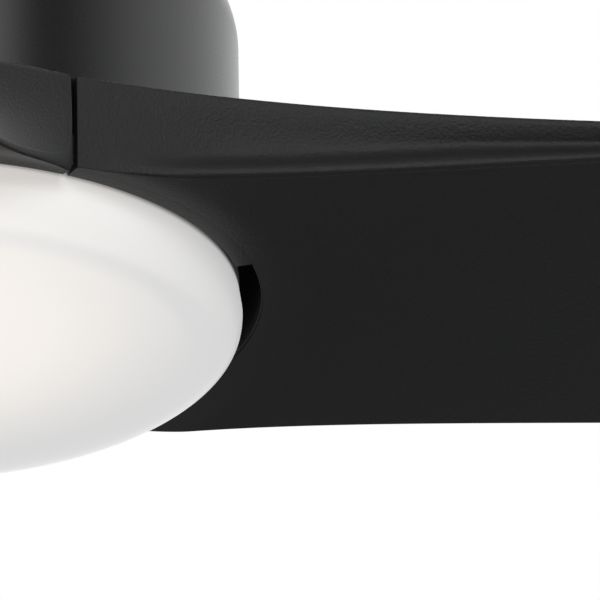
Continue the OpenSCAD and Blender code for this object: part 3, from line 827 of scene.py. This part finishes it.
    def settle(self, lead: np.ndarray, trail: np.ndarray, v: np.ndarray) -> np.ndarray:
        """How much lower or higher a point lies where the tip's corner has cut the blade.

        It is the middle height at the point's share of the uncut width, less that at its own share,
        so the corner is cut out of an even blade and does not curl.

        Args:
            lead: Points of the leading edge, shape (rings, 2).
            trail: Points of the trailing edge, shape (rings, 2).
            v: Shares of the way across, shape (shares,) or (rings, shares).

        Returns:
            Shape (rings, shares).
        """
        own = np.broadcast_to(v, (len(lead), np.shape(v)[-1]))
        start = (lead[:, 1] - self.corner_cut(lead[:, 0]))[:, None]
        stop = (trail[:, 1] + self.corner_cut(trail[:, 0]))[:, None]
        whole = np.clip((mix(lead[:, 1:], trail[:, 1:], own) - start) / (stop - start), 0, 1)
        whole = np.where(self.corner_cut(lead[:, :1]) > 0, whole, own)
        over = self.tops(trail[:, 0], whole) - self.tops(trail[:, 0], own)
        under_whole = self.undersides(lead[:, 0], trail[:, 0], whole)
        return (over + under_whole - self.undersides(lead[:, 0], trail[:, 0], own)) / 2

    def face(self, lead: np.ndarray, trail: np.ndarray) -> np.ndarray:
        """Leading face, from the underside up to the top: a cubic spline through its own control points.

        From the top it draws in to a hollow and then flares out to the lip; further out the lip's
        outermost line stands above the underside and leaves a narrow step below it.

        Args:
            lead: Points of the leading edge, shape (rings, 2).
            trail: Points of the trailing edge, shape (rings, 2).

        Returns:
            Shape (rings, face points, 3).
        """
        x, tx = lead[:, 0], trail[:, 0]
        grown = ease((x - self.lead_0[0] - self.lip_from) / self.lip_grows)
        step = self.step * ease((x - self.step_from) / self.step_run)
        lip = self.lip_height(x)
        h = self.height - lip
        bead = MM * np.clip(h / (24 * MM), 0.3, 1.0)
        chord = np.linalg.norm(trail - lead, axis=1)
        near = np.stack([self.lead_bend / chord, 2 * MM / chord, 0.7 * MM / chord], 1)
        ends = self.plan(lead, trail, near)
        shift = self.settle(lead, trail, near)
        low, top = self.undersides(x, tx, near) + shift, self.tops(tx, near) + shift
        level = self.settle(lead, trail, np.zeros((1, 1)))[:, 0]
        under = [np.concatenate([ends[:, k], low[:, k, None]], -1) for k in range(3)]
        over = [np.concatenate([ends[:, k], top[:, k, None]], -1) for k in (2, 1, 0)]
        profile = [
            (-0.2 * MM * grown - step * 0.4, lip + 0.15 * MM),
            (-0.2 * MM * grown - step * 0.4, lip + 0.5 * MM),
            (self.lip_out * grown - step * 0.1, lip + 0.35 * MM + step * 0.8),
            (self.lip_out * grown, lip + 1.3 * bead + step),
            (self.lip_out * grown, lip + 2.8 * bead + step),
            (self.lip_out * grown * 0.8, lip + 4.4 * bead + step * 0.8),
            (-0.3 * self.hollow * grown, lip + 7.0 * bead + step * 0.5),
            (-1.0 * self.hollow * grown, lip + 9.6 * bead + step * 0.2),
            (-1.15 * self.hollow * grown, lip + 13.0 * bead),
            (-0.75 * self.hollow * grown, lip + h * 0.6),
            (-0.25 * self.hollow * grown, lip + h * 0.78),
            (0 * x, self.height - 2.6 * MM + 0 * x),
            (0 * x - 0.15 * MM, self.height - 0.5 * MM + 0 * x),
        ]
        sides = [np.stack([x, lead[:, 1] - out, z + level], -1) for out, z in profile]
        controls = np.stack([*under, *sides, *over], 1)
        return np.einsum("sc,ncd->nsd", spline_weights(controls.shape[1], self.face_points), controls)

    def aerofoil(self) -> np.ndarray:
        """Closed rings of the aerofoil, from inside the root out to the rounded tip.

        Returns:
            Shape (rings, points, 3), heights above the lip.
        """
        lead_x, trail_x = self.edge_x(self.lead_0[0]), self.edge_x(self.trail_0[0])
        lead = np.stack([lead_x, self.lead_edge(lead_x)], -1)
        trail = np.stack([trail_x, self.trail_edge(trail_x)], -1)
        lead[0], trail[0] = self.lead_0, self.trail_0
        chord = np.linalg.norm(trail - lead, axis=1)[:, None]
        first, last = self.lead_bend / chord, 1 - self.trail_nose / chord
        v = mix(first, last, np.sin(np.linspace(0, 1, self.chord_points) * math.pi / 2)[None, :] ** 1.15)
        shift = self.settle(lead, trail, v)
        high, low = self.tops(trail_x, v) + shift, self.undersides(lead_x, trail_x, v) + shift
        over = np.concatenate([self.plan(lead, trail, v), high[..., None]], -1)
        under = np.concatenate([self.plan(lead, trail, v), low[..., None]], -1)
        middle = (over[:, -1] + under[:, -1]) / 2
        nose = np.concatenate([self.plan(lead, trail, np.ones((1, 1)))[:, 0], middle[:, 2:]], -1)
        turn = np.radians(np.linspace(90, -90, 9))[1:-1]
        half = (over[:, -1] - under[:, -1])[:, None] / 2
        edge = middle[:, None] + np.sin(turn)[None, :, None] * half
        edge = edge + np.cos(turn)[None, :, None] * (nose - middle)[:, None]
        rings = np.concatenate([over[:, 1:], edge, under[:, :0:-1], self.face(lead, trail)], 1)
        inside = rings[0] * np.array([self.root / self.ring, self.root / self.ring, 1.0])
        return np.concatenate([inside[None], rings, self.tip_ends(rings[-1])], 0)

    def tip_ends(self, ring: np.ndarray) -> np.ndarray:
        """Close the tip: a quarter circle along X while the last ring shrinks towards its middle line.

        Across the blade the ring shrinks by the circle's own radius; in height it shrinks by the cosine.

        Args:
            ring: The aerofoil's last ring, shape (points, 3).

        Returns:
            Shape (rings, points, 3).
        """
        turn = np.radians(np.array([25.0, 45.0, 62.0, 76.0, 86.0]))[:, None]
        middle = (ring.min(0) + ring.max(0)) / 2
        half = (ring.max(0) - ring.min(0))[1] / 2
        share = (ring[:, 1] - ring[:, 1].min()) / (2 * half)
        line = self.middle_line(ring, share)
        y = middle[1] + (ring[:, 1] - middle[1]) * (1 - self.tip_round * (1 - np.cos(turn)) / half)
        z = line + (ring[:, 2] - line) * np.cos(turn)
        x = ring[:, 0] + self.tip_round * np.sin(turn)
        return np.stack([x, y, z], -1)

    def middle_line(self, ring: np.ndarray, share: np.ndarray) -> np.ndarray:
        """Height midway between a ring's upper and lower side, at each of its points.

        Args:
            ring: The ring, shape (points, 3).
            share: Each point's share of the way across, shape (points,).

        Returns:
            The heights, shape (points,).
        """
        top = int(np.argmax(share))
        over, under = slice(0, top + 1), slice(top, len(ring))
        upper = np.interp(share, share[over], ring[over, 2])
        order = np.argsort(share[under])
        return (upper + np.interp(share, share[under][order], ring[under, 2][order])) / 2

    def channel(self) -> np.ndarray:
        """Closed rings of the root: a C-shaped channel whose lip and wall are cut away at the notch.

        Returns:
            Shape (angles, points, 3), heights above the lip.
        """
        top, t = self.height, self.flange
        outside = self.root + self.skin
        shown = [(self.inner, 0), (outside, self.flush), (outside, top), (self.flange_in, top)]
        shown.append((self.flange_in, top - t))
        full = np.array([*shown, (self.wall, top - t), (self.wall, t), (self.inner, t)])
        n = self.notch_wall
        cut = np.array([(n, 0), *shown[1:], (n, top - t), (n, t), (n - 0.01 * MM, t * 0.9)])
        angles = np.concatenate([
            np.linspace(self.lead_az, self.notch[0], 60),
            np.linspace(self.notch[0], self.notch[1], 60),
            np.linspace(self.notch[1], self.trail_az, 50),
        ])
        is_cut = np.concatenate([np.zeros(60), np.ones(60), np.zeros(50)])[:, None, None]
        soft = np.where(full[:, :1] == outside, 0.05 * MM, 0.6 * MM)
        outline = mix(rounded(full, soft)[None], rounded(cut, soft)[None], is_cut)
        a = np.radians(angles)[:, None]
        r, z = outline[..., 0], outline[..., 1]
        return np.stack([r * np.cos(a), r * np.sin(a), z], -1)

    def build(self) -> None:
        """Make the three blades and put each on the rotor."""
        lift = np.array([0.0, 0.0, self.sizes.lip])
        one = Shell().loft(self.aerofoil() + lift, fold=2 * (self.chord_points - 1) + 6)
        one.loft(self.channel() + lift)
        material = self.finishes["black_moulding"]
        for k in range(3):
            name = f"blade_{k + 1}"
            piece = one.turned(120.0 * k).piece(f"{name}_moulding", material, sharp=32.0)
            report(piece, "rotor", "black_moulding", name)


@dataclass
class Housing:
    """The drum over the motor, its bell-shaped cover, the downrod and the canopy."""

    sizes: Sizes
    finishes: Finishes
    wall: float = 1.6 * MM
    shoulder: float = 34 * MM
    mouth: float = 38.5 * MM

    def drum(self) -> Shell:
        """Drum: a straight side, a quarter circle, a flat top with a hole, and the same again inside.

        Returns:
            The drum.
        """
        s = self.sizes
        a = np.radians(np.linspace(0, 90, 40))
        low, high, r, w = s.housing_low, s.housing_top, s.housing, self.wall

        def quarter(inset: float) -> np.ndarray:
            """Quarter circle of the shoulder, drawn in by inset."""
            out = r - self.shoulder + (self.shoulder - inset) * np.cos(a)
            return np.stack([out, high - self.shoulder + (self.shoulder - inset) * np.sin(a)], -1)

        soft = 0.5 * MM
        lower = np.array([[r - w, low + 0.4 * MM], [r - w + soft, low], [r - soft, low], [r, low + soft]])
        side = np.stack([np.full(8, r), np.linspace(low + 4 * MM, high - self.shoulder - 2 * MM, 8)], -1)
        m = self.mouth
        hole = np.array([[m + 0.4 * MM, high], [m, high - 0.4 * MM], [m, high - w]])
        inside = quarter(w)[::-1]
        back = np.stack([np.full(6, r - w), np.linspace(high - self.shoulder - 2 * MM, low + 4 * MM, 6)], -1)
        outline = np.concatenate([lower, side, quarter(0), hole, inside, back])
        return Shell().turn(outline, steps=320)

    def bell(
        self, node: str, hole: float, edge: float, wall: float, flip: bool, straight: float = 0.0
    ) -> Shell:
        """Thin bell: a straight skirt and a quarter of a superellipse.

        The radius runs from edge to hole by the power 0.8 of a cosine, while the height follows the
        power 0.9 of the sine.

        Args:
            node: CAD node that gives the radius and the heights.
            hole: Radius of the hole at its narrow end.
            edge: Radius of its wide end.
            wall: Thickness of its wall.
            flip: Whether its narrow end is the lower one.
            straight: Height of the straight skirt.

        Returns:
            The bell.
        """
        low, high = (corner.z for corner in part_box(node))
        wide, narrow = (high, low) if flip else (low, high)
        sign = math.copysign(1.0, narrow - wide)
        a = np.radians(90 * np.linspace(0, 1, 60))

        def side(inset: float) -> np.ndarray:
            """Outline of one side of the wall.

            Args:
                inset: How far it lies inside the outer side.

            Returns:
                Shape (angles, 2).
            """
            start = wide + sign * straight
            radius = hole + (edge - inset - hole) * np.cos(a) ** 0.8
            height = start + (narrow - sign * inset - start) * np.sin(a) ** 0.9
            return np.stack([radius, height], -1)

        skirt = np.array([
            [edge - wall, wide + sign * 0.2 * MM],
            [edge - wall / 2, wide],
            [edge, wide + sign * 0.3 * MM],
        ])
        outline = np.concatenate([skirt, side(0), side(wall)[::-1]])
        return Shell().turn(outline, steps=200)

    def tube(self, node: str, wall: float) -> Shell:
        """Plain tube with rounded ends, as long and as wide as its CAD node.

        Args:
            node: The CAD node.
            wall: Thickness of its wall.

        Returns:
            The tube.
        """
        low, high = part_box(node)
        r = high.x
        outline = np.array([[r - wall, low.z], [r, low.z], [r, high.z], [r - wall, high.z]])
        return Shell().turn(rounded(outline, 0.6 * MM), steps=128)

    def trim(self) -> Shell:
        """Ring round the canopy's screws: a thin wall with an inward foot.

        Returns:
            The ring.
        """
        low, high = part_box("canopy_trim_ring")
        r, foot = high.x, high.x - 4.0 * MM
        outline = np.array([
            [r - 1.4 * MM, high.z], [r, high.z], [r, low.z + 1.4 * MM], [r - 1.2 * MM, low.z],
            [foot, low.z], [foot, low.z + 1.2 * MM], [r - 1.4 * MM, low.z + 1.2 * MM],
        ])
        return Shell().turn(rounded(outline, 0.4 * MM), steps=200)

    def build(self) -> None:
        """Make the smooth skins and put each on its body."""
        paint = self.finishes["black_paint"]
        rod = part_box("downrod")[1].x
        canopy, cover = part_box("canopy")[1].x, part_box("coupling_cover")[1].x
        report(self.drum().piece("motor_drum", paint), "hung_frame", "black_paint", "housing_shell")
        bell = self.bell("coupling_cover", rod + 1.2 * MM, cover, 1.4 * MM, flip=False)
        report(bell.piece("coupling_bell", paint), "hung_frame", "black_paint", "coupling_cover")
        cup = self.bell("canopy", rod + 16 * MM, canopy, 1.2 * MM, flip=True, straight=24.5 * MM)
        report(cup.piece("ceiling_canopy", paint), "ceiling_mount", "black_paint", "canopy")
        tube = self.tube("downrod", 2.8 * MM).piece("down_tube", paint)
        report(tube, "hung_frame", "black_paint", "downrod")
        ring = self.trim().piece("screw_cover_ring", self.finishes["black_moulding"])
        report(ring, "ceiling_mount", "black_moulding", "canopy_trim_ring")


@dataclass
class Light:
    """The opal bowl of the light."""

    sizes: Sizes
    finishes: Finishes
    depth: float = 37 * MM
    wall: float = 3 * MM
    line: float = -4 * MM
    neck_top: float = 9 * MM
    neck_out: float = 137.4 * MM
    neck_in: float = 134.6 * MM
    flare_out: float = 5 * MM
    flare_in: float = 4.6 * MM
    neck_round: float = 0.9 * MM
    lugs: tuple[float, ...] = (0.0, 120.0, 240.0)
    lug_from: float = -15.0
    lug_arc: float = 8.0
    lug_in: float = 131.8 * MM
    lug_low: float = 5.8 * MM
    lug_high: float = 7.8 * MM

    def dome(self, radius: float, depth: float) -> np.ndarray:
        """Half of a dome's outline: at t of the radius, the depth times (1 - t to the 1.7) to the 0.3226.

        Args:
            radius: Radius at its wide end.
            depth: How far it hangs below its wide end.

        Returns:
            Points (radius, height) from the axis outwards, shape (n, 2).
        """
        t = np.sin(np.linspace(0, math.pi / 2, 90))
        drop = depth * np.maximum(0, 1 - t**1.7) ** 0.3226
        return np.stack([radius * t, self.line - drop], -1)

    def bowl(self) -> Shell:
        """Bowl with its neck: the outer dome, the neck's rim, and the inner dome.

        Returns:
            The bowl.
        """
        wide = self.sizes.bowl
        outer, inner = self.dome(wide, self.depth), self.dome(wide - self.wall, self.depth - self.wall)
        corners = np.array([
            [wide, self.line],
            [self.neck_out, self.line + self.flare_out],
            [self.neck_out, self.neck_top],
            [self.neck_in, self.neck_top],
            [self.neck_in, self.line + self.flare_in],
            [wide - self.wall, self.line],
        ])
        neck = rounded(corners, self.neck_round)[5:-5]
        line = np.concatenate([outer[:-1], neck, inner[-2::-1]])
        return Shell().dome(line + [0, self.sizes.lip], steps=320)

    def add_lugs(self, shell: Shell) -> Shell:
        """Add the three lugs that rest on the holder's ledges.

        Args:
            shell: The bowl.

        Returns:
            The bowl with its lugs.
        """
        low, high = self.lug_low + self.sizes.lip, self.lug_high + self.sizes.lip
        out = self.neck_in + 1 * MM
        corners = np.array([[self.lug_in, low], [out, low], [out, high], [self.lug_in, high]])
        for at in self.lugs:
            shell.turn(rounded(corners, 0.4 * MM, 3), steps=10, start=at + self.lug_from, sweep=self.lug_arc)
        return shell

    def build(self) -> None:
        """Make the bowl and put it on its own body."""
        shell = self.add_lugs(self.bowl())
        report(shell.piece("opal_bowl", self.finishes["opal_glass"]), "bowl", "opal_glass", "glass_bowl")


def report(piece: bpy.types.Object, body: str, slot: str, *nodes: str) -> None:
    """Put a piece on its body, hide the nodes that it stands for, and log it.

    Args:
        piece: The piece.
        body: The body that it moves with.
        slot: Its material slot; not used.
        nodes: The CAD nodes that it stands for.
    """
    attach(piece, body)
    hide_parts(*nodes)
    mesh = piece.data
    LOG.info("%s: %d points, %d faces, on %s", piece.name, len(mesh.vertices), len(mesh.polygons), body)


# ---------------------------------------------------------------- studio


@dataclass(frozen=True)
class Lamp:
    """A soft square lamp: where it is, the point that it faces, its side and its power."""

    name: str
    place: Colour
    aim: Colour
    side: float
    watts: float


@dataclass
class Studio:
    """Camera, floor, world and lights."""

    sizes: Sizes
    below: float = 24.06
    away: float = 4.0095
    lens: float = 594.0
    sensor: float = 36.0
    aim_right: float = 162.0 * MM
    aim_up: float = 1.4 * MM
    floor_z: float = -2.7
    floor_half: float = 18.0
    wall_right: float = 0.5
    wall_back: float = 0.866
    wall_from: float = -0.2
    wall_to: float = 0.55
    wall_light: float = 1.1
    horizon_from: float = -0.1
    horizon_to: float = 0.3
    base_light: float = 0.085
    below_light: float = 0.8
    front_light: float = 2.7
    box_toward: Colour = (0.29, -0.90, 0.33)
    box_edge: float = 0.895
    box_core: float = 0.995

    def camera(self) -> None:
        """Put the camera in front of the fan and below it, and turn it about its own upright to the right."""
        e = math.radians(self.below)
        sight = Vector((0, math.cos(e), math.sin(e)))
        upward = Vector((0, -math.sin(e), math.cos(e)))
        centre = Vector((0, 0, self.sizes.lip))
        data = bpy.data.cameras.new("camera")
        data.lens, data.sensor_width = self.lens, self.sensor
        data.clip_start, data.clip_end = 0.1, 100.0
        made = bpy.data.objects.new("camera", data)
        bpy.context.scene.collection.objects.link(made)
        made.location = centre - sight * self.away
        target = centre + Vector((self.aim_right, 0, 0)) + upward * self.aim_up
        ahead = (target - made.location).normalized()
        right = ahead.cross(upward).normalized()
        made.rotation_mode = "QUATERNION"
        made.rotation_quaternion = Matrix((right, right.cross(ahead), -ahead)).transposed().to_quaternion()
        bpy.context.scene.camera = made

    def world(self) -> None:
        """White to the eye; to the surfaces a studio that is bright behind and to the right.

        Its light is an even grey, plus a white wall whose share rises smoothly with the direction's
        turn to the back and right and again over the horizon, plus a white patch straight below,
        plus a soft box in front.
        """
        made = bpy.data.worlds.new("studio")
        made.use_nodes = True
        bpy.context.scene.world = made
        sky = Maker.of_tree(made.node_tree)
        x, y, z = sky.parts(sky.node("ShaderNodeTexCoord", out="Generated"))
        turn = (x * self.wall_right + y * self.wall_back).fade(self.wall_from, self.wall_to)
        wall = turn * z.fade(self.horizon_from, self.horizon_to) * self.wall_light
        below = (-1.0 * z).fade(0.72, 0.97) * self.below_light
        box_x, box_y, box_z = self.box_toward
        front = (x * box_x + y * box_y + z * box_z).fade(self.box_edge, self.box_core) * self.front_light
        level = wall + below + front + self.base_light
        seen = sky.node("ShaderNodeBackground", {}, {"Color": (1, 1, 1, 1), "Strength": 1.0})
        fill = sky.node("ShaderNodeBackground", {}, {"Color": (0.98, 0.99, 1.0, 1), "Strength": level})
        eye = sky.node("ShaderNodeLightPath", out="Is Camera Ray")
        join = sky.node("ShaderNodeMixShader", {}, {0: eye, 1: fill, 2: seen})
        sky.put(made.node_tree.nodes["World Output"].inputs["Surface"], join)
        bpy.context.scene.view_settings.view_transform = "Standard"

    def floor(self) -> None:
        """Plain pale floor."""
        h = self.floor_half
        mesh = bpy.data.meshes.new("floor")
        corners = [(-h, -h, self.floor_z), (h, -h, self.floor_z), (h, h, self.floor_z), (-h, h, self.floor_z)]
        mesh.from_pydata(corners, [], [(0, 1, 2, 3)])
        paint = Finish("floor_paint", (0.82, 0.82, 0.82), 0.8, Pattern.CLOUDED, contrast=0.01)
        mesh.materials.append(paint.build())
        made = bpy.data.objects.new("floor", mesh)
        made.visible_diffuse, made.visible_glossy = False, False
        bpy.context.scene.collection.objects.link(made)

    def light(self, lamp: Lamp) -> None:
        """Hang a lamp, hidden from the camera.

        Args:
            lamp: The lamp.
        """
        data = bpy.data.lights.new(lamp.name, "AREA")
        data.shape, data.size, data.energy = "SQUARE", lamp.side, lamp.watts
        made = bpy.data.objects.new(lamp.name, data)
        bpy.context.scene.collection.objects.link(made)
        made.location = lamp.place
        made.visible_camera = False
        made.rotation_mode = "QUATERNION"
        made.rotation_quaternion = (Vector(lamp.aim) - Vector(lamp.place)).to_track_quat("-Z", "Y")

    def build(self) -> None:
        """Set up the world, the floor and the two lamps; main places the camera before the pieces."""
        middle = (0.0, 0.0, self.sizes.lip)
        self.world()
        self.floor()
        self.light(Lamp("front_key", place=(-2.6, -2.6, 1.0), aim=middle, side=2.0, watts=40.0))
        self.light(Lamp("top_fill", place=(0.0, 2.6, 3.2), aim=(0.0, 2.0, 0.0), side=3.6, watts=300.0))


def main() -> None:
    """Build the camera, the finishes, the pieces and the studio, in that order."""
    logging.basicConfig(level=logging.INFO, format="%(name)s: %(message)s")
    sizes = Sizes.read()
    studio = Studio(sizes)
    studio.camera()
    finishes = Finishes(sizes)
    finishes.dress_frame()
    Blades(sizes, finishes).build()
    Housing(sizes, finishes).build()
    Light(sizes, finishes).build()
    studio.build()


if __name__ == "__main__":
    main()
